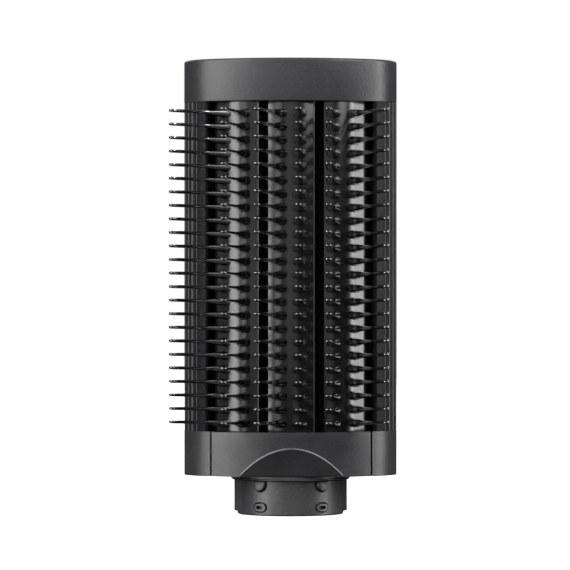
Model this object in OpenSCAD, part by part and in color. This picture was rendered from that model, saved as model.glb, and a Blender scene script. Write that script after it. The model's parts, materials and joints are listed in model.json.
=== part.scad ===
// Smoothing-brush head for a hot air styler: a keyed plug, an oval housing with four upright air slots,
// three glossy beds and six columns of flat bristles that all lean towards -X.
// Millimetres. +Z is up, the bristles face -Y, and the origin is on the plug's axis at its bottom rim.

/* [Head outline] */
// Width of the head, side to side
head_w = 68; // [60:0.5:84]
// Depth of the head without the bristles, front to back
head_d = 43; // [41:0.5:54]
// Radius of the two rounded sides
side_r = 16; // [13:0.5:19]
// Wall thickness of the outer shells
shell_t = 1.8; // [1.4:0.1:2.4]

/* [Heights] */
// Height of the plug below the flange
plug_h = 11; // [10:0.5:15]
// Height of the neck between the flange's underside and the head
neck_h = 1.5; // [1.2:0.1:3]
// Height of the base housing
base_h = 14.2; // [13.8:0.1:20]
// Height of the slotted middle of the head
bed_h = 104.5; // [80:0.5:130]
// Height of the end cap
cap_h = 13.8; // [8:0.1:18]

/* [Plug and air inlet] */
// Radius of the air inlet's bore
bore_r = 10.8; // [9:0.1:11.6]
// Wall of the inlet sleeve
sleeve_t = 1; // [0.8:0.1:1.4]
// Radial room between the sleeve and the plug's wall, which holds the sprung buttons
detent_room = 3.4; // [3.2:0.1:4.2]
// Wall of the plug
plug_wall = 1.8; // [1.5:0.1:2.2]
// How far the flange stands out from the plug
flange_out = 2; // [1.6:0.1:2.4]
// How far the side keys stand out from the plug
key_out = 1; // [0.6:0.1:1.4]

/* [Detent buttons] */
// Angle of the button pairs from the front and back centre lines
button_az = 35; // [30:1:45]
// Width of a button
button_w = 3.8; // [3:0.1:4.6]
// Height of a button
button_h = 2.8; // [2.3:0.1:3.4]
// How far a button stands out from the plug, and how far it travels in
button_out = 1.1; // [0.6:0.05:1.3]
// Clear gap beside and below a button
button_gap = 0.6; // [0.3:0.05:0.7]
// Width of a keeper lug
keeper_w = 4; // [3.3:0.1:4.8]
// Height of a keeper lug
keeper_h = 2.35; // [1.9:0.05:2.8]
// Clear gap round a keeper lug
keeper_gap = 0.5; // [0.2:0.05:0.6]

/* [Beds and air slots] */
// Width of the centre bed
centre_bed_w = 15; // [14:0.5:18]
// Radius of the centre bed's front
centre_bed_r = 16; // [14:0.5:22]
// Width of the two inner air slots
inner_slot_w = 2.6; // [1.5:0.1:3.2]
// Width of the two outer air slots
outer_slot_w = 1.5; // [1:0.1:2]
// Distance from the head's side to the outer slot
side_margin = 8.3; // [8:0.1:9]
// How far each bed's crest lies behind the head's outline
bed_recess = 1.5; // [1:0.1:2.5]
// Thickness of a bed
bed_t = 1.6; // [1.2:0.1:2]

/* [Bristles] */
// Rows of bristles
rows = 24; // [12:1:30]
// Free length of a bristle
pin_l = 20.3; // [14:0.1:24]
// Width of a bristle at its root
pin_root_w = 4.4; // [3:0.1:4.6]
// Width of a bristle from its taper's end to its tip
pin_tip_w = 2.4; // [1.6:0.1:2.8]
// Thickness of a bristle at its root
pin_root_t = 2.2; // [1.4:0.1:2.4]
// Thickness of a bristle at its tip
pin_tip_t = 1.1; // [0.8:0.1:1.4]
// How far the bristles lean sideways from square to their bed
pin_lean = -11.6; // [-14:0.1:-6]
// How far the bristles tip upwards
pin_rise = 1.8; // [0:0.1:3]

/* [Hidden] */
$fn = 72;
eps = 0.01;
big = 300;
fit = 0.1;           // clearance between pieces that fit into each other
slip = 0.05;         // clearance between faces that lie side by side
bite = 0.02;         // clearance round a screw's thread

// Heights, from the plug's rim upwards
z_flange = plug_h;
z_base = z_flange + neck_h;
z_bed = z_base + base_h;
z_cap = z_bed + bed_h;
z_top = z_cap + cap_h;

// Outline: a rounded side meets a bowed face where their tangents agree
side_c = head_w / 2 - side_r;
face_rise = head_d / 2 - side_r;
face_c = (side_c * side_c - face_rise * face_rise) / (2 * face_rise);
face_r = head_d / 2 + face_c;
function tangent_x(inset) = side_c * (1 + (side_r - inset) / (face_r - side_r));
function front_y(x) = face_c - sqrt(face_r * face_r - x * x);

// Plug
sleeve_r = bore_r + sleeve_t;
plug_in_r = sleeve_r + detent_room;
plug_r = plug_in_r + plug_wall;
neck_r = plug_in_r + 1;
flange_r = plug_r + flange_out;
sleeve_h = z_base + 7.5;
rim_chamfer = 0.4;
flange_t = 0.7;
flange_chamfer = 0.6;
flange_step = 0.8;
key_z = 1.15;
key_w = 6.2;
key_step_w = 9.8;
floor_t = 1.6;
z_floor = z_base + floor_t;
plug_foot_t = 1.5;
z_foot = z_floor + plug_foot_t;
plug_foot_r = plug_r + 3;
sleeve_foot_t = 1.2;
seal_z = 0.3;
seal_t = 1;
plug_screw_r = plug_foot_r - 1.8;
plug_screw_a = 37;

// Detents
button_top_gap = 0.2;
button_z = z_flange - button_top_gap - button_h / 2;
plate_t = 0.8;
plate_w = button_w + 2 * button_gap + 1;
plate_h = button_h + 2 * button_gap + 1;
plate_r = sqrt(plug_in_r * plug_in_r - plate_w * plate_w / 4) - 0.3;
wire_r = 0.15;
coil_r = 1.1;
coil_turns = 2.5;
spring_in = sleeve_r + wire_r + 0.15;
spring_out = plate_r - plate_t - wire_r - 0.05;
keeper_z = 2.65;
keeper_out = 0.4;
keeper_ring_t = 1.5;
keeper_ring_z0 = seal_z + seal_t;
keeper_ring_z1 = keeper_z + keeper_h / 2 + keeper_gap + 1;

// Base and its fascia
seam_gap = 0.4;
fascia_x = head_w / 2 - side_margin - seam_gap;
pad_y = -(plug_r + 0.2);
pad_x = plug_r + 0.5;
arch_y = -(flange_r - 0.5);
arch_h = 9;
bulkhead_t = 1.8;
z_bulkhead = z_bed - bulkhead_t;
tab_t = 1.2;
post_r = 2.4;
post_a = 50;
post_reach = side_r - shell_t - fit - tab_t - post_r - 0.2;
post_x = side_c + post_reach * cos(post_a);
post_y = post_reach * sin(post_a);
straightener_t = 1.35;
straightener_lap = 2;
vane_t = 0.8;
vane_rise = 1.5;
gasket_t = 0.6;
gasket_w = 1.6;
duct_hole_r = bore_r + 0.6;

// Beds: each is round about its own centre, with angles measured from the front towards +X
panel_x = head_w / 2 - side_margin;
bed_x0 = centre_bed_w / 2 + inner_slot_w;
bed_x1 = panel_x - outer_slot_w;
side_bed_c = bed_x0 + 1.7;
side_bed_r = bed_x1 - side_bed_c + 0.1;
side_bed_start = -asin((side_bed_c - bed_x0) / side_bed_r);
side_bed_y = front_y(side_bed_c) + bed_recess + side_bed_r;
crease_a = 39.2;     // where a side bed's round front meets its flat facet
facet_a = 42;        // the way that the facet faces
facet_d = side_bed_r * cos(facet_a - crease_a);
corner_cut = 0.35;
function bed_at(side) = [side * side_bed_c, side == 0 ? centre_bed_y : side_bed_y];
function bed_radius(side) = side == 0 ? centre_bed_r : side_bed_r;
centre_bed_y = -head_d / 2 + bed_recess + centre_bed_r;
centre_bed_a = asin(centre_bed_w / 2 / centre_bed_r);
end_plate_t = 1.6;
end_plate_in = 4;
end_plate_a = 0.8;

// Bristles
rail_t = 1.3;
rail_margin = end_plate_t + fit;
side_rail_a = 13.5;
centre_rail_a = 9.7;
low_margin = 2.85;
top_margin = 3.9;
row_pitch = (bed_h - low_margin - top_margin) / (rows - 1);
taper_l = 7;
pin_back = bed_t + rail_t * 0.75;
// One entry for each column: the side of its bed, its angle there, and its lean from square to the bed
COLUMNS = [
    [-1, -47.4, pin_lean],
    [-1, -16.3, pin_lean + 9.5],
    [0, -13.7, pin_lean + 2.8],
    [0, 9.2, pin_lean],
    [1, 6, pin_lean],
    [1, 41, pin_lean]
];

// Ducting behind the beds
duct_inset = shell_t + 1.8;
duct_t = 1.2;
slot_wall_t = 1.2;
slot_wall_y = -4.2;
shield_inset = shell_t + 0.6;
shield_t = 0.4;
rear_seam_y = 11.8;
flute_r = 1.6;
flute_depth = 0.45;
flute_pitch = 9.3;
frame_y = -5.5;
frame_d = 2.5;
rod_r = 1.25;
rod_x = side_c + 5;
rod_y = 3;
cap_wall = 2;
cap_roof = 2.2;
cap_plate_t = 1.8;
screw_r = 0.9;
screw_head_r = 1.7;
screw_head_h = 1.2;
screw_room = 0.3;    // left between a screw's end and the far face of what it holds

SHELL = "#3a3a3c";
GLOSS = "#151517";
DARK = "#242426";
STEEL = "#a0a2a5";

// ---- Shared shapes ----

// The head's oval, shrunk all round by inset
module oval(inset = 0) {
    intersection() {
        translate([0, face_c]) circle(face_r - inset);
        translate([0, -face_c]) circle(face_r - inset);
        square([2 * tangent_x(inset), big], center = true);
    }
    for (s = [-1, 1]) translate([s * side_c, 0]) circle(side_r - inset);
}

// A wall that follows the oval, from one inset to a deeper one
module oval_ring(inset, t) {
    difference() {
        oval(inset);
        oval(inset + t);
    }
}

module box2(x0, x1, y0, y1) {
    translate([x0, y0]) square([x1 - x0, y1 - y0]);
}

// An upright layer from z0 to z1
module layer(z0, z1) {
    translate([0, 0, z0]) linear_extrude(z1 - z0) children();
}

// A ring about the plug's axis
module ring(r_in, r_out, z0, z1) {
    translate([0, 0, z0]) difference() {
        cylinder(r = r_out, h = z1 - z0);
        translate([0, 0, -eps]) cylinder(r = r_in, h = z1 - z0 + 2 * eps);
    }
}

// Puts a radial piece, drawn along +X at height 0, at one of the plug's four lug places
module at_lug(side, back, z) {
    translate([0, 0, z]) rotate(back * (180 - button_az * side) + (1 - back) * (side * button_az) - 90)
        children();
}

module each_lug(z) {
    for (side = [-1, 1], back = [0, 1]) at_lug(side, back, z) children();
}

// A lug's outline, grown by g, as a bar along +X from r0 to r1: flat on top and round below
module button_bar(r0, r1, g = 0) {
    w = button_w / 2 + g;
    shoulder = button_w / 2 - button_h / 2;
    translate([r0, 0, 0]) rotate([90, 0, 90]) linear_extrude(r1 - r0) intersection() {
        union() {
            translate([0, shoulder]) circle(w);
            translate([-w, shoulder]) square([2 * w, 2 * w]);
        }
        translate([-w, -big]) square([2 * w, big + button_h / 2 + (g > 0 ? button_top_gap : 0)]);
    }
}

// A bar with two round sides along +X, w wide and h high
module slot_bar(r0, r1, w, h) {
    translate([r0, 0, 0]) rotate([90, 0, 90]) linear_extrude(r1 - r0) {
        square([w - h, h], center = true);
        for (s = [-1, 1]) translate([s * (w - h) / 2, 0]) circle(h / 2);
    }
}

// A screw that points along +Z from under its head
module screw(r, l, head_r, head_h) {
    translate([0, 0, -head_h / 2]) cylinder(r = r, h = l + head_h / 2);
    translate([0, 0, -head_h]) cylinder(r = head_r, h = head_h);
}

// ---- Plug ----

module each_plug_screw() {
    for (s = [-1, 1], t = [0, 180]) rotate(t + s * plug_screw_a) translate([plug_screw_r, 0, 0]) children();
}

module side_keys() {
    for (s = [0, 180]) rotate(s) {
        translate([neck_r, -key_w / 2, key_z]) cube([plug_r + key_out - neck_r, key_w, z_flange - key_z]);
        translate([neck_r, -key_step_w / 2, key_z])
            cube([plug_r + key_out / 2 - neck_r, key_step_w, z_flange - key_z]);
    }
}

module plug_tube() {
    color(DARK) difference() {
        union() {
            rotate_extrude() polygon([
                [plug_in_r, 0], [plug_r - rim_chamfer, 0], [plug_r, rim_chamfer], [plug_r, z_flange],
                [neck_r, z_flange], [neck_r, z_foot], [plug_in_r, z_foot]
            ]);
            intersection() {
                ring(plug_in_r, plug_foot_r, z_floor, z_foot);
                translate([0, 0, z_foot]) cube([big, -2 * pad_y - 1.8, 3 * plug_foot_t], center = true);
            }
            side_keys();
        }
        translate([0, 0, -1]) cylinder(r = plug_in_r, h = 2 * z_foot);
        each_lug(button_z) button_bar(plug_in_r - 1, plug_r + 1, button_gap);
        each_lug(keeper_z)
            slot_bar(plug_in_r - 1, plug_r + 1, keeper_w + 2 * keeper_gap, keeper_h + 2 * keeper_gap);
        translate([0, 0, z_floor - 1]) each_plug_screw() cylinder(r = screw_r + fit, h = 2 * plug_foot_t + 1);
    }
}

module coupling_flange() {
    color(DARK) rotate_extrude() polygon([
        [neck_r + slip, z_flange], [flange_r - flange_chamfer, z_flange], [flange_r, z_flange + flange_t / 2],
        [flange_r, z_flange + flange_t], [flange_r - flange_step, z_flange + flange_t],
        [flange_r - flange_step, z_base], [neck_r + slip, z_base]
    ]);
}

module inlet_sleeve() {
    color(DARK) difference() {
        union() {
            cylinder(r = sleeve_r, h = sleeve_h);
            translate([0, 0, z_foot]) cylinder(r = neck_r - 0.2, h = sleeve_foot_t);
        }
        translate([0, 0, -1]) cylinder(r = bore_r, h = sleeve_h + 2);
    }
}

module inlet_seal() {
    color("#101011") ring(sleeve_r + slip, plug_in_r - slip, seal_z, seal_z + seal_t);
}

module detent_button(side, back) {
    color(DARK) at_lug(side, back, button_z) {
        intersection() {
            button_bar(plate_r - eps, plug_r + 2);
            translate([0, 0, -button_h]) cylinder(r = plug_r + button_out, h = 2 * button_h);
        }
        translate([plate_r - plate_t, -plate_w / 2, -plate_h / 2]) cube([plate_t, plate_w, plate_h]);
    }
}

// A round-wire helix about the X axis: rings of points along its path, joined into one closed skin
module detent_spring(side, back) {
    sides = 8;
    steps = 30;
    function centre(i) = let (a = 360 * coil_turns * i / steps)
        [spring_in + (spring_out - spring_in) * i / steps, coil_r * cos(a), coil_r * sin(a)];
    points = [for (i = [0:steps], k = [0:sides - 1])
        let (a = 360 * coil_turns * i / steps, b = 360 * k / sides)
        centre(i) + wire_r * [sin(b), cos(b) * cos(a), cos(b) * sin(a)]];
    walls = [for (i = [0:steps - 1], k = [0:sides - 1])
        [i * sides + k, i * sides + (k + 1) % sides, (i + 1) * sides + (k + 1) % sides, (i + 1) * sides + k]];
    first = [for (k = [0:sides - 1]) sides - 1 - k];
    last = [for (k = [0:sides - 1]) steps * sides + k];
    color(STEEL) at_lug(side, back, button_z) polyhedron(points, concat([first], walls, [last]), convexity = 4);
}

// Lies inside the plug and shows its four slotted lugs through the lower windows
module keeper_ring() {
    slot_w = keeper_w - 1.2;
    slot_h = keeper_h - 1.2;
    color(DARK) difference() {
        union() {
            ring(plug_in_r - slip - keeper_ring_t, plug_in_r - slip, keeper_ring_z0, keeper_ring_z1);
            intersection() {
                each_lug(keeper_z) slot_bar(plug_in_r - keeper_ring_t / 2, plug_r + 2, keeper_w, keeper_h);
                cylinder(r = plug_r + keeper_out, h = z_flange);
            }
        }
        each_lug(keeper_z) slot_bar(plug_r - 1.1, plug_r + 3, slot_w, slot_h);
    }
}

module plug_screws() {
    color(STEEL) translate([0, 0, z_foot]) each_plug_screw() rotate([180, 0, 0])
        screw(screw_r, z_foot - z_base - screw_room - 0.1, screw_head_r - 0.2, screw_head_h);
}

// Slips over the sleeve's end, with its vanes above it
module flow_straightener() {
    ring_r = sleeve_r + slip + straightener_t;
    z0 = sleeve_h + vane_rise;
    z1 = z_bulkhead - gasket_t;
    color("#55565a") {
        ring(sleeve_r + slip, ring_r, sleeve_h - straightener_lap, z1);
        for (a = [0:60:120]) rotate(a) translate([-ring_r + 1, -vane_t / 2, z0])
            cube([2 * ring_r - 2, vane_t, z1 - z0 - 0.5]);
    }
}

module duct_gasket() {
    color("#6b2f2a") ring(duct_hole_r, duct_hole_r + gasket_w, z_bulkhead - gasket_t, z_bulkhead);
}

// ---- Base ----

// What the fascia takes out of the front of the base, grown by g
module fascia_front(g) {
    difference() {
        intersection() {
            oval(-1);
            box2(-fascia_x - g, fascia_x + g, -head_d, 0);
        }
        oval(shell_t + g);
    }
    intersection() {
        oval(-1);
        box2(-pad_x - g, pad_x + g, -head_d, pad_y + g);
    }
}

module each_post() {
    for (s = [-1, 1], t = [-1, 1]) translate([s * post_x, t * post_y, 0]) children();
}

module base_housing() {
    color(SHELL) difference() {
        union() {
            layer(z_base, z_bed) oval_ring(0, shell_t);
            layer(z_base, z_floor) oval(shell_t - eps);
            translate([0, 0, z_floor - eps]) each_post() cylinder(r = post_r, h = z_bulkhead - z_floor + eps);
        }
        layer(z_base - 1, z_floor + eps) fascia_front(seam_gap);
        layer(z_floor, z_bed + 1) box2(-fascia_x - seam_gap, fascia_x + seam_gap, -head_d, -head_d / 4);
        translate([0, 0, z_base - 1]) cylinder(r = neck_r + fit, h = base_h);
        translate([0, 0, z_base + screw_room]) each_plug_screw() cylinder(r = screw_r + bite, h = floor_t);
        translate([0, 0, z_base - 1]) each_post() cylinder(r = screw_r + fit, h = base_h);
        translate([0, 0, z_base - 1]) each_post() cylinder(r = screw_head_r + fit, h = 1 + screw_head_h);
    }
}

module front_fascia() {
    color(SHELL) difference() {
        union() {
            layer(z_base, z_bed) intersection() {
                oval_ring(0, shell_t);
                box2(-fascia_x, fascia_x, -head_d, 0);
            }
            layer(z_base, z_base + arch_h + 1) intersection() {
                oval(0);
                box2(-pad_x, pad_x, -head_d, pad_y);
            }
            layer(z_floor + 1, z_bulkhead - 1) intersection() {
                oval_ring(shell_t + fit, tab_t);
                union() for (s = [-1, 1]) box2(s * fascia_x - 3, s * fascia_x + 3, -head_d, 0);
            }
            layer(z_floor + 1, z_bulkhead - 1) intersection() {
                oval_ring(shell_t - 0.2, tab_t);
                union() for (s = [-1, 1]) box2(s * (fascia_x - 2) - 1, s * (fascia_x - 2) + 1, -head_d, 0);
            }
        }
        // The inclined arch face
        rotate([90, 0, 90]) translate([0, 0, -head_w]) linear_extrude(2 * head_w) polygon([
            [arch_y, z_base], [front_y(0), z_base + arch_h], [front_y(0) - 5, z_base + arch_h],
            [front_y(0) - 5, z_base - 5], [arch_y + (arch_y - front_y(0)) * 5 / arch_h, z_base - 5]
        ]);
    }
}

module base_screws() {
    color(STEEL) translate([0, 0, z_base + screw_head_h]) each_post()
        screw(screw_r, z_bed - screw_room - z_base - screw_head_h, screw_head_r, screw_head_h - 0.1);
}

// Places of the beds' fixing screws, in plan
module each_bed_screw() {
    for (s = [-1, 1]) translate([s * side_bed_c, side_bed_y, 0]) rotate(s * 28)
        translate([0, -side_bed_r + bed_t + end_plate_in / 2, 0]) children();
    translate([0, centre_bed_y - centre_bed_r + bed_t + end_plate_in / 2, 0]) children();
}

module each_rod() {
    for (s = [-1, 1]) translate([s * rod_x, rod_y, 0]) children();
}

module lower_bulkhead() {
    color(DARK) difference() {
        layer(z_bulkhead, z_bed) oval(shell_t + fit);
        translate([0, 0, z_bulkhead - 1]) {
            cylinder(r = duct_hole_r, h = bulkhead_t + 2);
            each_post() cylinder(r = screw_r + bite, h = bulkhead_t + 2);
            each_bed_screw() cylinder(r = screw_r + fit, h = bulkhead_t + 2);
            each_rod() cylinder(r = rod_r + fit, h = bulkhead_t + 2);
        }
    }
}

// ---- Middle shells and ducting ----

module side_panel(s) {
    wall_x = panel_x + slot_wall_t;
    color(SHELL) difference() {
        layer(z_bed, z_cap) mirror([s < 0 ? 1 : 0, 0]) {
            intersection() {
                oval_ring(0, shell_t);
                box2(panel_x, head_w, -head_d, rear_seam_y - fit);
            }
            intersection() {
                oval(0);
                box2(panel_x, wall_x, -head_d, slot_wall_y);
            }
            intersection() {
                oval(duct_inset);
                box2(panel_x, head_w, slot_wall_y - 1.2, slot_wall_y);
            }
        }
        for (k = [-4:4]) rotate(s < 0 ? 180 : 0)
            translate([side_c, 0, z_bed - 1]) rotate(k * flute_pitch)
            translate([side_r + flute_r - flute_depth, 0, 0]) cylinder(r = flute_r, h = bed_h + 2);
    }
}

module rear_casing() {
    color(SHELL) layer(z_bed, z_cap) intersection() {
        oval_ring(0, shell_t);
        box2(-head_w, head_w, rear_seam_y, head_d);
    }
}

module heat_shield() {
    color(STEEL) layer(z_bed, z_cap) intersection() {
        oval_ring(shield_inset, shield_t);
        box2(-head_w, head_w, rod_y, head_d);
    }
}

module air_duct() {
    color("#4a4a4d") layer(z_bed, z_cap) intersection() {
        oval_ring(duct_inset, duct_t);
        box2(-head_w, head_w, slot_wall_y + slip, head_d);
    }
}

// Leans forward as it rises, so the air space narrows towards the cap
module plenum_baffle() {
    margin = duct_inset + duct_t + fit;
    back_y = head_d / 2 - margin - 2.5;
    top_y = 2;
    t = 1.2;
    color("#4a4a4d") intersection() {
        layer(z_bed + 1, z_cap - 1) difference() {
            oval(margin);
            union() for (s = [-1, 1]) translate([s * rod_x, rod_y]) circle(rod_r + 1);
        }
        rotate([90, 0, 90]) translate([0, 0, -head_w / 2]) linear_extrude(head_w) polygon([
            [back_y, z_bed], [back_y + t, z_bed], [top_y + t, z_cap], [top_y, z_cap]
        ]);
    }
}

module cross_frame() {
    half = panel_x - slip;
    bar = 2.4;
    color(DARK) {
        for (k = [1:3]) translate([-half, frame_y, z_bed + bed_h * k / 4 - bar / 2]) cube([2 * half, frame_d, bar]);
        for (s = [-1, 1]) translate([s * bed_x0 - bar / 2, frame_y, z_bed]) cube([bar, frame_d, bed_h]);
    }
}

module tie_rods() {
    z0 = z_bulkhead;
    z1 = z_cap + cap_plate_t;
    head_t = 1.4;
    nut_t = 1.6;
    color(STEEL) each_rod() {
        translate([0, 0, z0 - head_t]) cylinder(r = rod_r + 1, h = head_t);
        translate([0, 0, z0 - eps]) cylinder(r = rod_r, h = z1 - z0 + nut_t + 0.4);
        translate([0, 0, z1]) cylinder(r = rod_r + 1.15, h = nut_t, $fn = 6);
    }
}

// ---- Beds and bristles ----

// A flat bristle along -Y from the origin, reaching back into its rail
module pin() {
    rw = pin_root_w / 2;
    tw = pin_tip_w / 2;
    rt = pin_root_t / 2;
    tt = pin_tip_t / 2;
    intersection() {
        rotate([90, 0, 0]) rotate_extrude() polygon([
            [0, -pin_back], [rw, -pin_back], [rw, 0.3], [tw, taper_l], [tw, pin_l - 1], [tw * 0.6, pin_l - 0.2], [0, pin_l]
        ]);
        rotate([90, 0, 90]) translate([0, 0, -rw - 1]) linear_extrude(2 * rw + 2) polygon([
            [pin_back + 1, -rt], [pin_back + 1, rt], [-0.3, rt], [-taper_l, tt], [-pin_l - 1, tt],
            [-pin_l - 1, -tt], [-taper_l, -tt], [-0.3, -rt]
        ]);
    }
}

// The hole that a bristle's root stands in
module pin_hole() {
    reach = bed_t * 2;
    intersection() {
        rotate([90, 0, 0]) cylinder(r = pin_root_w / 2 + slip, h = 2 * reach, center = true);
        cube([2 * pin_root_w, 3 * reach, pin_root_t + 2 * slip], center = true);
    }
}

// Puts a bristle or its hole at each row of a column
module each_pin(c) {
    place = bed_at(c[0]);
    for (i = [0:rows - 1]) translate([place[0], place[1], z_bed + low_margin + i * row_pitch]) rotate(c[1])
        translate([0, -bed_radius(c[0]), 0]) rotate([0, 0, c[2]]) rotate([-pin_rise, 0, 0]) children();
}

// The section of a bed, shrunk by inset, about the bed's centre: the centre bed is round, and a side bed
// has a flat facet that runs from its round front to its square side
module bed_area(side, inset) {
    r = bed_radius(side) - inset;
    join = r * sin(facet_a);
    side_x = bed_x1 - side_bed_c - inset;
    if (side == 0) {
        circle(r);
    } else {
        mirror([side < 0 ? 1 : 0, 0]) difference() {
            union() {
                intersection() {
                    circle(r);
                    box2(-big, join + 0.3, -big, 1);
                }
                box2(join, side_x, -r, 1);
            }
            rotate(facet_a) translate([-big / 2, inset - facet_d - big]) square(big);
            translate([side_x, -(facet_d - inset - side_x * sin(facet_a)) / cos(facet_a)])
                rotate((facet_a + 90) / 2) square([big, 2 * corner_cut], center = true);
        }
    }
}

// A strip along a bed's section, from one inset to a deeper one and from angle a0 to a1
module bed_band(side, inset0, inset1, a0, a1) {
    far = 3 * bed_radius(side);
    mid = (a0 + a1) / 2;
    translate(bed_at(side)) intersection() {
        difference() {
            bed_area(side, inset0);
            bed_area(side, inset1);
        }
        polygon([[0, 0], far * [sin(a0), -cos(a0)], far * [sin(mid), -cos(mid)], far * [sin(a1), -cos(a1)]]);
    }
}

module bed(side, a0, a1, columns) {
    color(GLOSS) difference() {
        union() {
            layer(z_bed, z_cap) bed_band(side, 0, bed_t, a0, a1);
            for (z = [z_bed, z_cap - end_plate_t]) layer(z, z + end_plate_t)
                bed_band(side, bed_t / 2, bed_t + end_plate_in, a0 + end_plate_a, a1 - end_plate_a);
        }
        for (c = columns) each_pin(COLUMNS[c]) pin_hole();
        translate([0, 0, z_bed - 1]) each_bed_screw() cylinder(r = screw_r + bite, h = bed_h + 2);
    }
}

module bed_left() bed(-1, -90, -side_bed_start, [0, 1]);
module bed_centre() bed(0, -centre_bed_a, centre_bed_a, [2, 3]);
module bed_right() bed(1, side_bed_start, 90, [4, 5]);

// One column of bristles on its rail, which lies against the back of its bed
module bristle_strip(n) {
    c = COLUMNS[n - 1];
    mid = c[1] - c[2] * pin_back / (bed_radius(c[0]) - bed_t);
    half = c[0] == 0 ? centre_rail_a : side_rail_a;
    behind = bed_t + slip;
    color(GLOSS) {
        layer(z_bed + rail_margin, z_cap - rail_margin)
            bed_band(c[0], behind, behind + rail_t, mid - half, mid + half);
        each_pin(c) pin();
    }
}

module bed_screws_lower() {
    color(STEEL) translate([0, 0, z_bulkhead]) each_bed_screw()
        screw(screw_r, bulkhead_t + end_plate_t - screw_room, screw_head_r, screw_head_h);
}

module bed_screws_upper() {
    color(STEEL) translate([0, 0, z_cap + cap_plate_t]) each_bed_screw() rotate([180, 0, 0])
        screw(screw_r, cap_plate_t + end_plate_t - screw_room, screw_head_r, screw_head_h);
}

// ---- Cap ----

module cap_plate() {
    color(DARK) difference() {
        layer(z_cap, z_cap + cap_plate_t) oval(cap_wall + fit);
        translate([0, 0, z_cap - 1]) {
            each_bed_screw() cylinder(r = screw_r + fit, h = cap_plate_t + 2);
            each_rod() cylinder(r = rod_r + fit, h = cap_plate_t + 2);
        }
    }
}

module end_cap() {
    color(SHELL) difference() {
        layer(z_cap, z_top) oval(0);
        layer(z_cap - 1, z_top - cap_roof) oval(cap_wall);
    }
}

plug_tube();
coupling_flange();
inlet_sleeve();
inlet_seal();
detent_button(-1, 0);  // detent_button_front_left
detent_button(1, 0);  // detent_button_front_right
detent_button(-1, 1);  // detent_button_back_left
detent_button(1, 1);  // detent_button_back_right
detent_spring(-1, 0);  // detent_spring_front_left
detent_spring(1, 0);  // detent_spring_front_right
detent_spring(-1, 1);  // detent_spring_back_left
detent_spring(1, 1);  // detent_spring_back_right
keeper_ring();
plug_screws();
flow_straightener();
duct_gasket();
base_housing();
front_fascia();
base_screws();
lower_bulkhead();
side_panel(-1);  // side_panel_left
side_panel(1);  // side_panel_right
rear_casing();
heat_shield();
air_duct();
plenum_baffle();
cross_frame();
tie_rods();
bed_left();
bed_centre();
bed_right();
bristle_strip(1);  // bristle_strip_1
bristle_strip(2);  // bristle_strip_2
bristle_strip(3);  // bristle_strip_3
bristle_strip(4);  // bristle_strip_4
bristle_strip(5);  // bristle_strip_5
bristle_strip(6);  // bristle_strip_6
bed_screws_lower();
bed_screws_upper();
cap_plate();
end_cap();
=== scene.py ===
"""Looks for a hot air brush head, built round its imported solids. All lengths are in metres."""

import json
import math

import bmesh
import bpy
import numpy as np
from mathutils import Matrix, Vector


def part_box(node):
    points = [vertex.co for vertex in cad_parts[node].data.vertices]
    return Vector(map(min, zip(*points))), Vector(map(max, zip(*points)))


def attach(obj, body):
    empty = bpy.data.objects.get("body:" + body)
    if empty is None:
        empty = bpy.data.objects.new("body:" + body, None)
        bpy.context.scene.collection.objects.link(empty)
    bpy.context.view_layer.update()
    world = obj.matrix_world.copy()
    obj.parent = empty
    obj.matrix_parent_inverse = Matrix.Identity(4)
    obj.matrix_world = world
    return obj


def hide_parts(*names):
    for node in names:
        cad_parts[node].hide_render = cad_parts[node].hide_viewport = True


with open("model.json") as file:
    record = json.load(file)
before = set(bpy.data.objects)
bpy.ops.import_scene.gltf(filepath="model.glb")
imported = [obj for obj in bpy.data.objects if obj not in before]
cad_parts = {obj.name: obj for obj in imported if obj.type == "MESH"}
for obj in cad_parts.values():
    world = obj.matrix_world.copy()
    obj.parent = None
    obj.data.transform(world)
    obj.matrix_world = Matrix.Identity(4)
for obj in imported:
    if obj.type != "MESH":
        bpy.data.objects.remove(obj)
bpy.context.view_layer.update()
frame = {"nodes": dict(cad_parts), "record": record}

MM = 0.001
PI = math.pi


def deg(angle):
    return math.radians(angle)


# ---- Sizes: the oval head, its heights, and its three beds ----

CAP_LOW, CAP_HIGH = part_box("end_cap")
HALF_W, HALF_D = CAP_HIGH.x, CAP_HIGH.y
SIDE_R = 16 * MM
SIDE_C = HALF_W - SIDE_R
RISE = HALF_D - SIDE_R
FACE_C = (SIDE_C**2 - RISE**2) / (2 * RISE)
FACE_R = HALF_D + FACE_C
JOIN = math.atan2(FACE_C, SIDE_C)
Z_CAP, Z_TOP = CAP_LOW.z, CAP_HIGH.z
Z_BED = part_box("bed_centre")[0].z
Z_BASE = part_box("base_housing")[0].z
SHELL_T = 1.8 * MM
PANEL_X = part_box("side_panel_right")[0].x
FASCIA_X = PANEL_X - 0.55 * MM
BED_T = 1.6 * MM
SIDE_BED_C, SIDE_BED_Y, SIDE_BED_R = 11.8 * MM, -6.03 * MM, 12.5 * MM
MID_BED_Y, MID_BED_R = -4 * MM, 16 * MM
ROWS = 24
ROW_Z0, ROW_PITCH = Z_BED + 2.85 * MM, 4.25 * MM
# Each column of bristles: its bed's centre in x and y, the bed's radius, its angle from the front towards +X,
# and its lean from square to the bed
COLUMNS = [
    (-SIDE_BED_C, SIDE_BED_Y, SIDE_BED_R, deg(-47.4), deg(-11.6)),
    (-SIDE_BED_C, SIDE_BED_Y, SIDE_BED_R, deg(-16.3), deg(-2.1)),
    (0, MID_BED_Y, MID_BED_R, deg(-13.7), deg(-8.8)),
    (0, MID_BED_Y, MID_BED_R, deg(9.2), deg(-11.6)),
    (SIDE_BED_C, SIDE_BED_Y, SIDE_BED_R, deg(6), deg(-11.6)),
    (SIDE_BED_C, SIDE_BED_Y, SIDE_BED_R, deg(41), deg(-11.6)),
]


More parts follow.
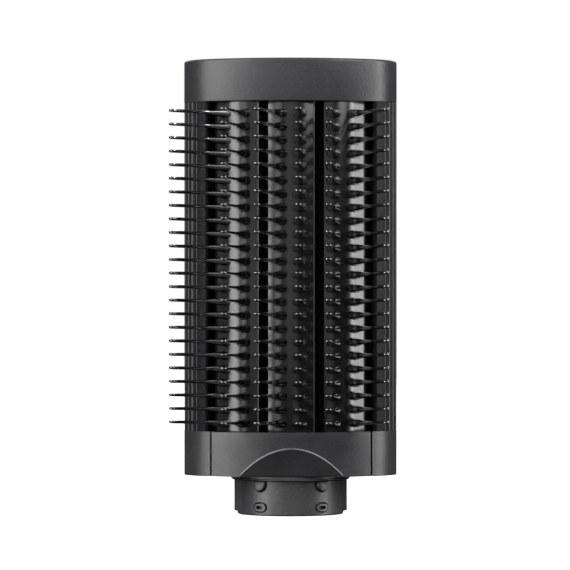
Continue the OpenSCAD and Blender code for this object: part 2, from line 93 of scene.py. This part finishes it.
# ---- Camera, floor and lights ----

def camera():
    """A long lens, level, a little to the left of straight on."""
    turn = deg(-0.8)
    distance, height, aside = 1.25, 73.1 * MM, 1.75 * MM
    data = bpy.data.cameras.new("camera")
    data.sensor_width = 36
    data.lens = 246.6
    data.clip_end = 50
    made = bpy.data.objects.new("camera", data)
    bpy.context.scene.collection.objects.link(made)
    forward = np.array([-math.sin(turn), math.cos(turn), 0])
    right = np.array([math.cos(turn), math.sin(turn), 0])
    made.location = np.array([0, 0, height]) - aside * right - distance * forward
    made.rotation_euler = (deg(90), 0, turn)
    bpy.context.scene.camera = made


def softbox(name, azimuth, elevation, reach, width, height, radiance, aim_z=80 * MM):
    """A flat area light that faces the object. Azimuth 0 is in front, and 90 is at +X."""
    data = bpy.data.lights.new(name, "AREA")
    data.shape = "RECTANGLE"
    data.size, data.size_y = width, height
    data.energy = radiance * PI * width * height
    made = bpy.data.objects.new(name, data)
    bpy.context.scene.collection.objects.link(made)
    a, e = deg(azimuth), deg(elevation)
    back = np.array([math.sin(a) * math.cos(e), -math.cos(a) * math.cos(e), math.sin(e)])
    made.location = reach * back + np.array([0, 0, aim_z])
    made.rotation_euler = (deg(90) - e, 0, a)
    made.visible_camera = False
    return made


def studio():
    """A white surround for the eye, almost no fill, soft lights on all sides, and two small high lamps."""
    scene = bpy.context.scene
    scene.view_settings.view_transform = "Standard"
    world = bpy.data.worlds.new("studio")
    scene.world = world
    world.use_nodes = True
    tree = world.node_tree
    tree.nodes.clear()
    seen = tree.nodes.new("ShaderNodeBackground")
    seen.inputs["Color"].default_value = (1, 1, 1, 1)
    fill = tree.nodes.new("ShaderNodeBackground")
    fill.inputs["Color"].default_value = (0.95, 0.97, 1, 1)
    fill.inputs["Strength"].default_value = 0.05
    rays = tree.nodes.new("ShaderNodeLightPath")
    mix = tree.nodes.new("ShaderNodeMixShader")
    out = tree.nodes.new("ShaderNodeOutputWorld")
    tree.links.new(rays.outputs["Is Camera Ray"], mix.inputs["Fac"])
    tree.links.new(fill.outputs[0], mix.inputs[1])
    tree.links.new(seen.outputs[0], mix.inputs[2])
    tree.links.new(mix.outputs[0], out.inputs["Surface"])
    softbox("left_light", -60, 6, 1.3, 0.66, 1.3, 7)
    softbox("left_front_light", -30, 6, 1.3, 0.30, 1.3, 2.6)
    softbox("front_card", 0, 8, 1.7, 0.9, 1.3, 0.75)
    softbox("right_light", 79, 6, 1.3, 0.42, 1.3, 9.5)
    softbox("right_high_light", 44, 24, 1.3, 0.50, 0.30, 6)
    softbox("left_lamp", -50, 38, 1.3, 0.15, 0.15, 70)
    softbox("right_lamp", 56, 38, 1.3, 0.15, 0.15, 70)
    softbox("rear_light", 180, 30, 1.6, 1.6, 1.0, 2.5)


def floor():
    """A round white sheet under the object, which the object neither mirrors nor is lit by."""
    mesh = bpy.data.meshes.new("floor")
    made = bpy.data.objects.new("floor", mesh)
    bpy.context.scene.collection.objects.link(made)
    around = np.linspace(0, 2 * PI, 64, endpoint=False)
    rim = np.stack([4 * np.cos(around), 4 * np.sin(around), np.full(64, -0.2 * MM)], -1)
    mesh.from_pydata(rim.tolist(), [], [list(range(64))])
    made.data.materials.append(material_floor())
    made.visible_diffuse = False
    made.visible_glossy = False


def material_floor():
    made = bpy.data.materials.new("white_paper")
    made.use_nodes = True
    shader = made.node_tree.nodes["Principled BSDF"]
    shader.inputs["Base Color"].default_value = (0.86, 0.86, 0.86, 1)
    shader.inputs["Roughness"].default_value = 0.85
    shader.inputs["Specular IOR Level"].default_value = 0.1
    shader.inputs["Emission Color"].default_value = (1, 1, 1, 1)
    shader.inputs["Emission Strength"].default_value = 1.0
    return made


camera()


# ---- Materials ----

class Finish:
    """A procedural material: a principled shader with helpers that add patterns in Object coordinates."""

    def __init__(self, name, roughness, **sockets):
        self.material = bpy.data.materials.new(name)
        self.material.use_nodes = True
        self.tree = self.material.node_tree
        self.shader = self.tree.nodes["Principled BSDF"]
        self.shader.inputs["Roughness"].default_value = roughness
        for socket, value in sockets.items():
            self.shader.inputs[socket.replace("_", " ")].default_value = value
        self.place = self.tree.nodes.new("ShaderNodeTexCoord").outputs["Object"]
        self.height = None

    def link(self, a, b):
        self.tree.links.new(a, b)

    def noise(self, size, detail=2.0, stretch=(1, 1, 1)):
        """Noise whose lumps are about size across, drawn out by stretch."""
        turn = self.tree.nodes.new("ShaderNodeMapping")
        turn.inputs["Scale"].default_value = [1 / s for s in stretch]
        self.link(self.place, turn.inputs["Vector"])
        made = self.tree.nodes.new("ShaderNodeTexNoise")
        made.inputs["Scale"].default_value = 1 / size
        made.inputs["Detail"].default_value = detail
        self.link(turn.outputs[0], made.inputs["Vector"])
        return made.outputs["Fac"]

    def spread(self, value, low, high, a=0.3, b=0.7):
        """Maps a pattern's range a to b onto low to high."""
        made = self.tree.nodes.new("ShaderNodeMapRange")
        for socket, number in zip(("From Min", "From Max", "To Min", "To Max"), (a, b, low, high)):
            made.inputs[socket].default_value = number
        self.link(value, made.inputs["Value"])
        return made.outputs["Result"]

    def blend(self, share, first, second):
        """Mixes two colours, or a colour and a socket, by a share."""
        made = self.tree.nodes.new("ShaderNodeMix")
        made.data_type = "RGBA"
        self.link(share, made.inputs[0])
        for socket, value in ((made.inputs[6], first), (made.inputs[7], second)):
            if isinstance(value, tuple):
                socket.default_value = (*value, 1)
            else:
                self.link(value, socket)
        return made.outputs[2]

    def mark(self, name):
        """A number that the piece carries at each of its points, 0 where it has none."""
        made = self.tree.nodes.new("ShaderNodeAttribute")
        made.attribute_name = name
        return made.outputs["Fac"]

    def bump(self, pattern, depth):
        """Adds a pattern to the surface's relief, depth deep."""
        made = self.tree.nodes.new("ShaderNodeBump")
        made.inputs["Strength"].default_value = 1
        made.inputs["Distance"].default_value = depth
        self.link(pattern, made.inputs["Height"])
        if self.height is not None:
            self.link(self.height, made.inputs["Normal"])
        self.height = made.outputs["Normal"]
        self.link(self.height, self.shader.inputs["Normal"])

    def set(self, socket, value):
        self.link(value, self.shader.inputs[socket])


# Colour of the painted highlight lines: pale strokes that stand in for light caught on the arch's edge, the
# flute ridges and the bed lips
PAINTED_GLINT_TONE = (0.58, 0.58, 0.59)


def moulded(name, dark, light, roughness, grain, depth, wear_and_highlight_tone, sheen=0.5, coat=None):
    """Moulded plastic: fine grain, faint mottling, paler edges (worn edges, and a painted highlight on the
    arch's edge), painted highlight lines, and a clear coat.

    Grain is the size of its lumps and depth how deep they are. Coat is the clear coat's roughness, or None.
    """
    made = Finish(name, roughness, Specular_IOR_Level=sheen)
    if coat is not None:
        made.shader.inputs["Coat Weight"].default_value = 1
        made.shader.inputs["Coat Roughness"].default_value = coat
    mottle = made.spread(made.noise(9 * MM, 4), 0, 1)
    tone = made.blend(mottle, dark, light)
    speck = made.spread(made.noise(grain * 1.6, 2), 0, 0.35, 0.5, 0.75)
    # Pale specks in the grain, in the tone that also serves for worn edges and the painted highlight
    tone = made.blend(speck, tone, wear_and_highlight_tone)
    # Marked edges pale towards that tone: worn edges, and at the arch's edge a painted highlight
    tone = made.blend(made.mark("wear_and_highlight"), tone, wear_and_highlight_tone)
    # Where the glint mark is set, a painted highlight line in the pale line colour
    tone = made.blend(made.mark("glint"), tone, PAINTED_GLINT_TONE)
    made.set("Base Color", tone)
    made.set("Roughness", made.spread(made.noise(14 * MM, 3), roughness - 0.03, roughness + 0.04))
    made.bump(made.noise(grain, 3), depth)
    made.bump(made.noise(grain * 7, 2), depth * 0.8)
    return made.material


def metal(name, dark, light, roughness, brush):
    """Drawn or stamped steel: fine lines along one way, and patches of dulling."""
    made = Finish(name, roughness, Metallic=1.0)
    made.set("Base Color", made.blend(made.spread(made.noise(4 * MM, 4), 0, 1), dark, light))
    made.set("Roughness", made.spread(made.noise(3 * MM, 3), roughness - 0.08, roughness + 0.1))
    made.bump(made.noise(0.15 * MM, 2, brush), 3e-6)
    return made.material


SATIN = moulded(
    "satin_shell", (0.028, 0.028, 0.030), (0.036, 0.036, 0.039),
    roughness=0.37, grain=0.40 * MM, depth=6e-5, wear_and_highlight_tone=(0.075, 0.075, 0.08),
)
PANEL = moulded(
    "fluted_panel", (0.006, 0.006, 0.007), (0.009, 0.009, 0.010),
    roughness=0.45, grain=0.30 * MM, depth=9e-6, wear_and_highlight_tone=(0.09, 0.09, 0.095), sheen=0.10,
)
GLOSS = moulded(
    "gloss_bed", (0.006, 0.006, 0.007), (0.010, 0.010, 0.011),
    roughness=0.22, grain=0.40 * MM, depth=3e-6, wear_and_highlight_tone=(0.03, 0.03, 0.032), sheen=0.62,
)
BRISTLE = moulded(
    "bristle_nylon", (0.005, 0.005, 0.006), (0.009, 0.009, 0.010),
    roughness=0.10, grain=0.40 * MM, depth=1e-6, wear_and_highlight_tone=(0.014, 0.014, 0.016), sheen=1.0, coat=0.06,
)
PLUG = moulded(
    "plug_plastic", (0.034, 0.034, 0.036), (0.048, 0.048, 0.050),
    roughness=0.40, grain=0.42 * MM, depth=3e-5, wear_and_highlight_tone=(0.11, 0.11, 0.115),
)
INNER = moulded(
    "duct_plastic", (0.006, 0.006, 0.006), (0.010, 0.010, 0.011),
    roughness=0.6, grain=0.35 * MM, depth=9e-6, wear_and_highlight_tone=(0.015, 0.015, 0.016), sheen=0.2,
)
RUBBER = moulded(
    "seal_rubber", (0.010, 0.010, 0.010), (0.017, 0.017, 0.017),
    roughness=0.72, grain=0.2 * MM, depth=1e-5, wear_and_highlight_tone=(0.03, 0.03, 0.03), sheen=0.3,
)
SILICONE = moulded(
    "red_silicone", (0.16, 0.032, 0.025), (0.21, 0.042, 0.032),
    roughness=0.55, grain=0.3 * MM, depth=6e-6, wear_and_highlight_tone=(0.3, 0.08, 0.06), sheen=0.4,
)
SHIELD = metal("foil_shield", (0.50, 0.50, 0.51), (0.66, 0.66, 0.67), 0.32, (1, 1, 30))
SCREW = metal("screw_steel", (0.30, 0.30, 0.31), (0.46, 0.46, 0.47), 0.34, (1, 1, 12))
SPRING = metal("spring_steel", (0.48, 0.48, 0.50), (0.62, 0.62, 0.64), 0.26, (12, 1, 1))
FINISHES = {
    "shell": SATIN, "bed": GLOSS, "bristle": BRISTLE, "plug": PLUG, "inner": INNER, "rubber": RUBBER,
    "silicone": SILICONE, "shield": SHIELD, "screw": SCREW, "spring": SPRING,
}


# ---- Surfaces ----

def outline(normal, inset=0.0):
    """Points of the head's oval whose outward normals stand at these angles from +X.

    A point is an arc's centre plus the arc's radius, less the inset, along the normal. The rounded sides are
    arcs about (SIDE_C, 0) and (-SIDE_C, 0). The bowed front and back are wider arcs about (0, FACE_C) and
    (0, -FACE_C).
    """
    normal = np.asarray(normal, float)
    along = np.stack([np.cos(normal), np.sin(normal)], -1)
    side = np.abs(along[..., 1]) < math.sin(JOIN)
    centre = np.where(
        side[..., None], along * 0 + np.stack([np.sign(along[..., 0]) * SIDE_C, along[..., 0] * 0], -1),
        np.stack([along[..., 0] * 0, -np.sign(along[..., 1]) * FACE_C], -1),
    )
    radius = np.where(side, SIDE_R, FACE_R) - inset
    return centre + radius[..., None] * along


def normals_between(start, end, step):
    """Normal angles from start to end whose points on the oval are evenly spaced, about step apart."""
    fine = np.linspace(start, end, 6000)
    points = outline(fine)
    run = np.concatenate([[0], np.cumsum(np.hypot(*np.diff(points, axis=0).T))])
    count = max(2, math.ceil(run[-1] / step))
    return np.interp(np.linspace(0, run[-1], count + 1), run, fine)


def arc(x, y, radius, start, end, step=deg(12)):
    """Points of a circle about (x, y) from one angle to another."""
    count = max(2, math.ceil(abs(end - start) / step))
    a = np.linspace(start, end, count + 1)
    return np.stack([x + radius * np.cos(a), y + radius * np.sin(a)], -1)


SAME_POINT = 1e-7  # points closer than this are one point


def piece(name, points, faces, finish, body, replaces, wear_and_highlight=None, crease=deg(38), glint=None):
    """Puts points and faces into a mesh, turns it the right way out, and makes it ride on its body."""
    mesh = bpy.data.meshes.new(name)
    mesh.from_pydata(points.reshape(-1, 3).tolist(), [], faces)
    # The marks a piece can carry: paler edges (worn edges, and a painted highlight at the arch's edge) and
    # painted highlight lines
    for title, values in (("wear_and_highlight", wear_and_highlight), ("glint", glint)):
        if values is not None:
            mark = mesh.attributes.new(title, "FLOAT", "POINT")
            mark.data.foreach_set("value", np.ascontiguousarray(values, np.float32).ravel())
    mesh.validate()
    work = bmesh.new()
    work.from_mesh(mesh)
    bmesh.ops.remove_doubles(work, verts=work.verts, dist=SAME_POINT)
    if work.calc_volume(signed=True) < 0:
        bmesh.ops.reverse_faces(work, faces=work.faces)
    work.to_mesh(mesh)
    work.free()
    mesh.shade_smooth()
    mesh.set_sharp_from_angle(angle=crease)
    mesh.materials.append(finish)
    made = bpy.data.objects.new(name, mesh)
    bpy.context.scene.collection.objects.link(made)
    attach(made, body)
    if replaces:
        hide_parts(*replaces)
    return made


def skin(rings, ends="caps", first=0):
    """Quads between one closed ring of points and the next. Rings is an array of ring, point and axis.

    Ends is "caps" for a flat face over the first and last ring, or "loop" where the last meets the first.
    """
    count, around = rings.shape[:2]
    row = np.arange(count if ends == "loop" else count - 1)[:, None]
    col = np.arange(around)[None]
    above = (row + 1) % count
    beside = (col + 1) % around
    quads = np.stack(
        [row * around + col, row * around + beside, above * around + beside, above * around + col], -1
    ).reshape(-1, 4) + first
    faces = quads.tolist()
    if ends == "caps":
        faces.append((np.arange(around)[::-1] + first).tolist())
        faces.append((np.arange(around) + (count - 1) * around + first).tolist())
    return faces


def offset_in(section, distance):
    """A closed plane outline moved inwards: each point goes along the mean of its two edges' normals."""
    ahead = np.roll(section, -1, 0) - section
    ahead /= np.maximum(np.hypot(*ahead.T), 1e-12)[:, None]
    mean = ahead + np.roll(ahead, 1, 0)
    mean /= np.maximum(np.hypot(*mean.T), 1e-12)[:, None]
    return section + distance * np.stack([-mean[:, 1], mean[:, 0]], -1)


def upright(section, z0, z1, soft=0.2 * MM):
    """Rings of an anticlockwise outline carried up from z0 to z1, its end edges rounded to a radius soft."""
    turn = np.linspace(0, PI / 2, 4)
    inset = soft * (1 - np.sin(turn))
    rise = soft * (1 - np.cos(turn))
    levels = [(d, z0 + h) for d, h in zip(inset, rise)]
    levels += [(d, z1 - h) for d, h in zip(inset[::-1], rise[::-1])]
    rings = [np.c_[offset_in(section, d), np.full(len(section), z)] for d, z in levels]
    wear_and_highlight = np.repeat([1, 0.8, 0.3, 0, 0, 0.3, 0.8, 1], len(section)) * 0.6
    return np.array(rings), wear_and_highlight


def prism(name, section, z0, z1, finish, replaces, soft=0.2 * MM, lines=None):
    """A section carried up from z0 to z1, with painted highlight lines down the points of the section that
    lines marks.
    """
    rings, wear_and_highlight = upright(section, z0, z1, soft)
    glint = None if lines is None else np.tile(lines, len(rings))
    return piece(name, rings, skin(rings), finish, "head", replaces, wear_and_highlight, glint=glint)


# ---- Cap ----

def end_cap():
    """The hollow cap: a profile of inset and height is carried round the oval, and closed over at both ends.

    The profile starts inside under the roof, comes down the inner wall, over the rim, up the outer wall and
    round the top edge, and ends where the roof begins. The roof is the same oval shrunk towards its middle.
    """
    wall, roof = 2 * MM, 2.2 * MM
    top_r, rim_r = 0.9 * MM, 0.25 * MM
    crown = 0.25 * MM
    a = np.linspace(0, PI / 2, 7)
    profile = [(wall, Z_TOP - roof), (wall, Z_CAP + rim_r)]
    profile += [(wall - rim_r * (1 - math.cos(t)), Z_CAP + rim_r * (1 - math.sin(t))) for t in a[1::2]]
    profile += [(rim_r * (1 - math.sin(t)), Z_CAP + rim_r * (1 - math.cos(t))) for t in a[::2]]
    profile += [(top_r * (1 - math.cos(t)), Z_TOP - crown - top_r * (1 - math.sin(t))) for t in a]
    angles = normals_between(0, 2 * PI, 0.9 * MM)[:-1]
    rings = [np.c_[outline(angles, d), np.full(len(angles), z)] for d, z in profile]
    shares = np.array([0.97, 0.9, 0.75, 0.55, 0.35, 0.15, 0.004])
    edge = outline(angles, top_r)
    over = [np.c_[edge * s, np.full(len(angles), Z_TOP - crown * s**4)] for s in shares]
    under = [np.c_[outline(angles, wall) * s, np.full(len(angles), Z_TOP - roof)] for s in shares[::-1]]
    rings = np.array(under + rings + over)
    wear_and_highlight = np.zeros(rings.shape[:2])
    wear_and_highlight[len(under) + len(profile) - 6:len(under) + len(profile) - 1] = 0.35
    piece("cap_shell", rings, skin(rings), SATIN, "head", ["end_cap"], wear_and_highlight)


# ---- Side panels and back ----

def fluted(angles):
    """How deep the grip flutes are at these normal angles: nine grooves, each a bite of a circle."""
    flute_r, depth, pitch = 1.6 * MM, 0.45 * MM, deg(9.3)
    far = SIDE_R + flute_r - depth
    off = np.abs((angles + pitch / 2) % pitch - pitch / 2)
    bite = np.sqrt(np.maximum(flute_r**2 - (far * np.sin(off))**2, 0))
    cut = np.where(flute_r > far * np.sin(off), SIDE_R - (far * np.cos(off) - bite), 0)
    cut = np.where(np.abs(angles) < pitch * 4.5, np.maximum(cut, 0), 0)
    kernel = np.array([1, 2, 3, 2, 1]) / 9
    return np.convolve(np.pad(cut, 2, mode="edge"), kernel, mode="valid")


def panel_section():
    """The right-hand panel in plan, anticlockwise, with a painted highlight marked along its flute ridges.

    It runs down the slot wall, round the rolled front edge, along the fluted side to the rear seam, and back
    along the inner skin.
    """
    roll_r = 1.2 * MM
    wall_y, web_t, wall_t = -4.2 * MM, 1.2 * MM, 1.2 * MM
    rear_y = 11.7 * MM
    roll_x = PANEL_X + roll_r
    roll_y = FACE_C - math.sqrt((FACE_R - roll_r)**2 - roll_x**2)
    leave = math.atan2(roll_y - FACE_C, roll_x)
    rear = math.asin(rear_y / SIDE_R)
    wall = np.stack([np.full(6, PANEL_X), np.linspace(wall_y, roll_y, 7)[:-1]], -1)
    roll = arc(roll_x, roll_y, roll_r, -PI, leave, deg(9))[:-1]
    angles = normals_between(leave, rear, 0.11 * MM)
    outer = outline(angles) - fluted(angles)[:, None] * np.stack([np.cos(angles), np.sin(angles)], -1)
    back = normals_between(leave + deg(2), rear, 1.2 * MM)[::-1]
    inner = outline(back, SHELL_T)
    inner = inner[inner[:, 0] > PANEL_X + wall_t + 0.3 * MM]
    web_x = SIDE_C + math.sqrt((SIDE_R - 3.6 * MM)**2 - (wall_y - web_t)**2)
    ahead = wall_y - web_t
    web = np.array([
        (PANEL_X + wall_t, inner[-1][1]), (PANEL_X + wall_t, ahead), (web_x, ahead), (web_x, wall_y),
    ])
    # Painted highlight along the crests between the flutes
    ridge = (np.abs(angles) < deg(42)) * np.maximum(1 - fluted(angles) / (0.09 * MM), 0) * 0.3
    before, after = np.zeros(len(wall) + len(roll)), np.zeros(len(inner) + len(web))
    return np.concatenate([wall, roll, outer, inner, web]), np.concatenate([before, ridge, after])


def side_panels():
    section, ridge = panel_section()
    for side, name in ((1, "right"), (-1, "left")):
        turned = section if side > 0 else (section * [-1, 1])[::-1]
        lines = ridge if side > 0 else ridge[::-1]
        prism(
            f"grip_panel_{name}", turned, Z_BED, Z_CAP, PANEL, [f"side_panel_{name}"],
            0.12 * MM, lines,
        )


def rear_casing():
    """The plain curved back between the two rear seams."""
    seam_y, corner = 11.8 * MM, 0.35 * MM
    start = math.asin(seam_y / SIDE_R)
    angles = normals_between(start, PI - start, 0.9 * MM)
    outer, inner = outline(angles), outline(angles, SHELL_T)[::-1]
    outer[0] = outline(angles[0], corner)
    outer[-1] = outline(angles[-1], corner)
    section = np.concatenate([outer, inner])
    prism("rear_shell", section, Z_BED, Z_CAP, SATIN, ["rear_casing"], 0.15 * MM)


# ---- Beds ----

CREASE, FACET = deg(39.2), deg(42)
FACET_D = SIDE_BED_R * math.cos(FACET - CREASE)
BED_SIDE = PANEL_X - 1.5 * MM - SIDE_BED_C


def bed_curve(side, inset, a):
    """Points of a bed's section, moved in by an inset, at angles a from the front towards +X.

    The centre bed is an arc. A side bed is an arc as far as its crease; then the line x sin F - y cos F = D,
    where F is the way the facet faces; then its square side, x = BED_SIDE. All are about the bed's centre.
    """
    if side == 0:
        reach = np.full(len(a), MID_BED_R - inset)
    else:
        facet = (FACET_D - inset) / np.maximum(np.cos(a * side - FACET), 0.05)
        flank = (BED_SIDE - inset) / np.maximum(np.sin(a * side), 0.05)
        reach = np.where(a * side > CREASE, np.minimum(facet, flank), SIDE_BED_R - inset)
    return np.stack([reach * np.sin(a), -reach * np.cos(a)], -1)


def bed_section(side, a0, a1, lips):
    """A bed in plan, anticlockwise: its front, with a raised lip at some edges, and its back, and a painted
    highlight line along each lip.
    """
    centre = np.array([side * SIDE_BED_C, SIDE_BED_Y if side else MID_BED_Y])
    radius = SIDE_BED_R if side else MID_BED_R
    corner = side * math.atan2(BED_SIDE, (FACET_D - BED_SIDE * math.sin(FACET)) / math.cos(FACET))
    turn = 0.25 * MM / radius
    a = np.linspace(a0 + turn, a1 - turn, 90)
    if side:
        crease = side * CREASE
        a = a[(np.abs(a - crease) > deg(0.8)) & (np.abs(a - corner) > deg(2.2))]
        soft = corner + deg(1) * np.array([-2.4, -1.4, -0.5, 0.5, 1.4, 2.4])
        a = np.sort(np.concatenate([a, [crease - deg(0.5), crease, crease + deg(0.5)], soft]))
    front = bed_curve(side, 0, a)
    if side:
        depth = 0.55 * MM * np.exp(-((a - corner) / deg(1.9))**2)
        corner_way = np.array([side * math.sin(deg(66)), -math.cos(deg(66))])
        front -= depth[:, None] * corner_way
    shine = 0 * a
    for edge in lips:
        raised = 0.16 * MM * np.exp(-((np.abs(a - edge) * radius) / (0.55 * MM))**4)
        front += raised[:, None] * np.stack([np.sin(a), -np.cos(a)], -1)
        # A painted highlight line along the lip
        shine += 0.28 * np.exp(-((np.abs(a - edge) * radius - 0.3 * MM) / (0.28 * MM))**2)
    ends = bed_curve(side, 0.25 * MM, np.array([a0, a1]))
    back = bed_curve(side, BED_T, np.linspace(a1, a0, 40))
    lines = np.concatenate([[0], shine, [0], np.zeros(len(back))])
    return centre + np.concatenate([ends[:1], front, ends[1:], back]), lines


def beds():
    inner_end, outer_end, half = deg(7.8), deg(90), deg(27.95)
    right = bed_section(1, -inner_end, outer_end, [])
    left = bed_section(-1, -outer_end, inner_end, [inner_end])
    middle = bed_section(0, -half, half, [half])
    for name, (section, lines) in (("left", left), ("centre", middle), ("right", right)):
        prism(f"gloss_bed_{name}", section, Z_BED, Z_CAP, GLOSS, [f"bed_{name}"], 0.1 * MM, lines)


# ---- Bristles ----

PIN_RISE = deg(1.8)
# Along a bristle: how far from the bed, half its width and half its thickness
PIN_SHAPE = np.array([
    (-1.2, 2.5, 1.5), (0.0, 2.5, 1.5), (0.7, 2.3, 1.32), (1.8, 2.14, 1.2), (3.6, 1.9, 1.04), (5.4, 1.5, 0.8),
    (7.2, 1.22, 0.58), (10, 1.18, 0.55), (15, 1.18, 0.54), (18.9, 1.19, 0.54), (19.5, 1.12, 0.53),
    (19.9, 0.92, 0.47),
    (20.12, 0.62, 0.34), (20.24, 0.25, 0.14),
]) * MM


def pin_rings():
    """One bristle along -Y: rings of a squared ellipse whose half axes follow PIN_SHAPE."""
    around = np.linspace(0, 2 * PI, 12, endpoint=False)
    c, s = np.cos(around), np.sin(around)
    squared = 0.72
    side = np.sign(c) * np.abs(c)**squared
    up = np.sign(s) * np.abs(s)**squared
    run, wide, thick = PIN_SHAPE.T
    return np.stack([wide[:, None] * side, -run[:, None] + 0 * side, thick[:, None] * up], -1)


def rotation_z(angle):
    c, s = math.cos(angle), math.sin(angle)
    return np.array([[c, -s, 0], [s, c, 0], [0, 0, 1]])


def rotation_x(angle):
    c, s = math.cos(angle), math.sin(angle)
    return np.array([[1, 0, 0], [0, c, -s], [0, s, c]])


def bristle_strips():
    """Each column's bristles stand in its bed and lean to one side. They share a rail behind the bed."""
    one = pin_rings()
    for n, (x, y, r, angle, lean) in enumerate(COLUMNS, 1):
        turn = rotation_z(angle) @ rotation_z(lean) @ rotation_x(-PIN_RISE)
        root = np.array([x, y, 0]) + rotation_z(angle) @ np.array([0, -r, 0])
        pins = one.reshape(-1, 3) @ turn.T + root
        heights = ROW_Z0 + ROW_PITCH * np.arange(ROWS)
        points = [pins + [0, 0, z] for z in heights]
        faces = []
        for i in range(ROWS):
            faces += skin(one, "caps", i * len(pins))
        low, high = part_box(f"bristle_strip_{n}")
        mid = angle + deg(3)
        half = deg(6)
        outer = arc(x, y, r - BED_T - 0.05 * MM, mid - half - PI / 2, mid + half - PI / 2, deg(2))
        inner = arc(x, y, r - BED_T - 1.35 * MM, mid + half - PI / 2, mid - half - PI / 2, deg(2))
        rail, _ = upright(np.concatenate([outer, inner]), low.z, high.z, 0.15 * MM)
        faces += skin(rail, "caps", ROWS * len(pins))
        points.append(rail.reshape(-1, 3))
        together = np.concatenate(points)
        piece(f"bristles_{n}", together, faces, BRISTLE, "head", [f"bristle_strip_{n}"])


# ---- Base ----

def front_fascia():
    """The bowed front of the base with its inclined arch.

    Each upright line of the skin, at one x, starts at the bottom edge, climbs the inclined face to the arch's
    edge, turns over it and goes up the bowed front. The inclined face is the plane
    y = foot_y + (crest - foot_y) z / arch_h, and the arch's edge is where that plane meets the bow y(x).
    """
    foot_y, arch_h = -18.5 * MM, 9 * MM
    soft, lip = 0.22 * MM, 0.3 * MM
    x = np.linspace(-FASCIA_X, FASCIA_X, 201)
    bowed = FACE_C - np.sqrt(FACE_R**2 - x**2)
    crest = FACE_C - FACE_R
    edge = np.clip(arch_h * (bowed - foot_y) / (crest - foot_y), 0, arch_h)
    inside = edge > 2.2 * soft
    levels, deep = [], []
    for t in (0.0, 0.05, 0.5, 0.97, 1.0):
        z = np.where(inside, (edge - soft) * t, lip * t * 0.8)
        levels.append(z)
        deep.append(np.where(inside, foot_y + (crest - foot_y) * z / arch_h, bowed))
    deep[0] = deep[0] + 0.25 * MM
    for extra in (0.0, 0.3 * soft, soft, 2.5 * soft):
        levels.append(np.where(inside, edge, lip * 0.8) + extra + 0.01 * MM)
        deep.append(bowed + np.where(inside, 0.15 * soft, 0) * (extra < 0.2 * soft))
    top = Z_BED - Z_BASE
    above = levels[-1]
    for t in (0.3, 0.65, 1):
        levels.append(above + (top - 0.18 * MM - above) * t)
        deep.append(bowed)
    inner = FACE_C - np.sqrt((FACE_R - SHELL_T)**2 - x**2)
    pad = np.where(inside, np.maximum(inner, -17.2 * MM), inner)
    ledge = np.where(inside, edge + 1 * MM, 0.5 * top)
    levels += [top + 0 * x, top + 0 * x, ledge, ledge, 0 * x]
    deep += [bowed + 0.16 * MM, inner, inner, pad, pad]
    rings = np.stack([np.stack([x, y, Z_BASE + z], -1) for y, z in zip(deep, levels)], 1)
    wear_and_highlight = np.zeros(rings.shape[:2])
    # The arch's edge is paled as a painted highlight, and the top edge as wear
    wear_and_highlight[:, 4:8] = np.where(inside, 0.9, 0)[:, None]
    wear_and_highlight[:, 11:13] = 0.7
    # A painted highlight line along the arch's edge, dimmer towards the apex
    glint = np.zeros(rings.shape[:2])
    brightness = 0.35 + 0.65 * np.clip(np.abs(x) / (6 * MM), 0, 1)
    glint[:, 5:7] = np.where(inside, brightness, 0)[:, None]
    piece("arch_fascia", rings, skin(rings), SATIN, "head", ["front_fascia"], wear_and_highlight, deg(11), glint)


def softened(node, name, finish, width=0.2 * MM, body="head"):
    """A copy of a node's own solid, merged, with its sharp edges bevelled."""
    mesh = frame["nodes"][node].data.copy()
    work = bmesh.new()
    work.from_mesh(mesh)
    bmesh.ops.remove_doubles(work, verts=work.verts, dist=2e-6)
    bmesh.ops.dissolve_limit(work, angle_limit=deg(0.6), verts=work.verts, edges=work.edges)
    work.to_mesh(mesh)
    work.free()
    mesh.materials.clear()
    mesh.materials.append(finish)
    mesh.shade_smooth()
    made = bpy.data.objects.new(name, mesh)
    bpy.context.scene.collection.objects.link(made)
    bevel = made.modifiers.new("bevel", "BEVEL")
    bevel.width = width
    bevel.segments = 2
    bevel.limit_method = "ANGLE"
    bevel.angle_limit = deg(35)
    bevel.harden_normals = True
    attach(made, body)
    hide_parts(node)
    return made


def coupling_flange():
    """The round flange over the plug: a closed profile of radius and height spun about Z."""
    low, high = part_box("coupling_flange")
    rim, foot = high.x, 16.25 * MM
    top = low.z + 0.7 * MM
    step = rim - 0.8 * MM
    profile = np.array([
        (foot, low.z), (rim - 0.7 * MM, low.z), (rim - 0.5 * MM, low.z + 0.05 * MM),
        (rim - 0.08 * MM, low.z + 0.3 * MM), (rim, low.z + 0.42 * MM), (rim - 0.03 * MM, top - 0.1 * MM),
        (rim - 0.15 * MM, top), (step + 0.1 * MM, top), (step, top + 0.1 * MM), (step, high.z),
        (foot, high.z),
    ])
    around = np.linspace(0, 2 * PI, 180, endpoint=False)
    rings = np.stack([
        profile[:, 0] * np.cos(around)[:, None], profile[:, 0] * np.sin(around)[:, None],
        profile[:, 1] + 0 * around[:, None],
    ], -1)
    piece("flange_ring", rings, skin(rings, "loop"), PLUG, "head", ["coupling_flange"])


# ---- Putting it together ----

studio()
floor()
end_cap()
side_panels()
rear_casing()
beds()
bristle_strips()
front_fascia()
coupling_flange()
for corner in ("front_left", "front_right", "back_left", "back_right"):
    softened(f"detent_button_{corner}", f"button_{corner}", PLUG, 0.3 * MM, f"detent_{corner}")

for part in frame["record"]["subparts"]:
    node = frame["nodes"][part["node"]]
    if not node.hide_render:
        node.data.materials.clear()
        node.data.materials.append(FINISHES[part["material_slot"]])
